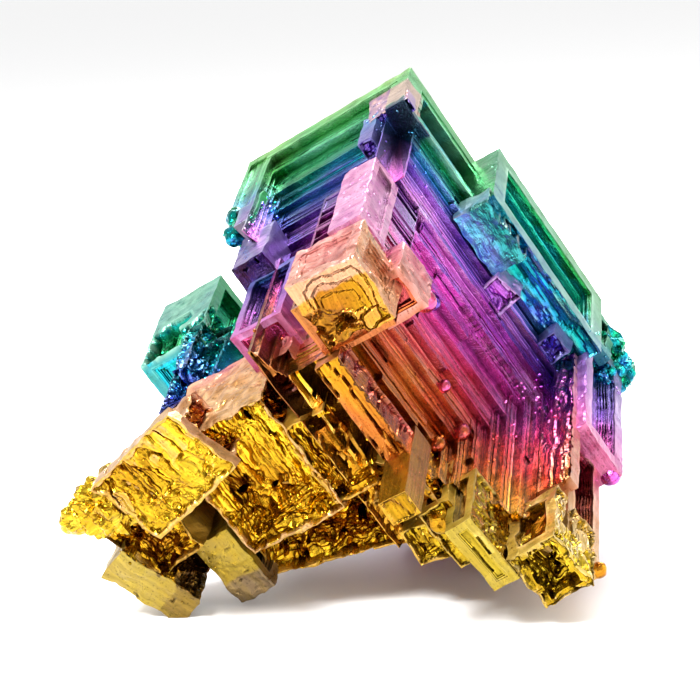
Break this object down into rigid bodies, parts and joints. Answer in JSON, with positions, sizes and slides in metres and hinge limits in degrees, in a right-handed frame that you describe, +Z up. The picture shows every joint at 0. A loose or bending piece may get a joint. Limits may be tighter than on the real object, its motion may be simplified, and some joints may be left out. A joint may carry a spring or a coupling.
{
  "type": "bismuth hopper crystal",
  "caption": "Free-standing cluster of stepped hopper crystals grown together in one piece, with an iridescent oxide film.",
  "frame": {"origin": "middle of the bounding box's bottom face, on the surface the crystal stands on", "axes": "+Z up, -Y towards the side with the two stepped hollows (the front), +X to the right seen from the front"},
  "size_m": [0.0646, 0.0578, 0.0542],
  "materials": {
    "bismuth": "metal with a thin coloured oxide film, glossy in the hollows and matte on the rims"
  },
  "bodies": {
    "root": {"bismuth_crystal": "bismuth"}
  },
  "joints": []
}
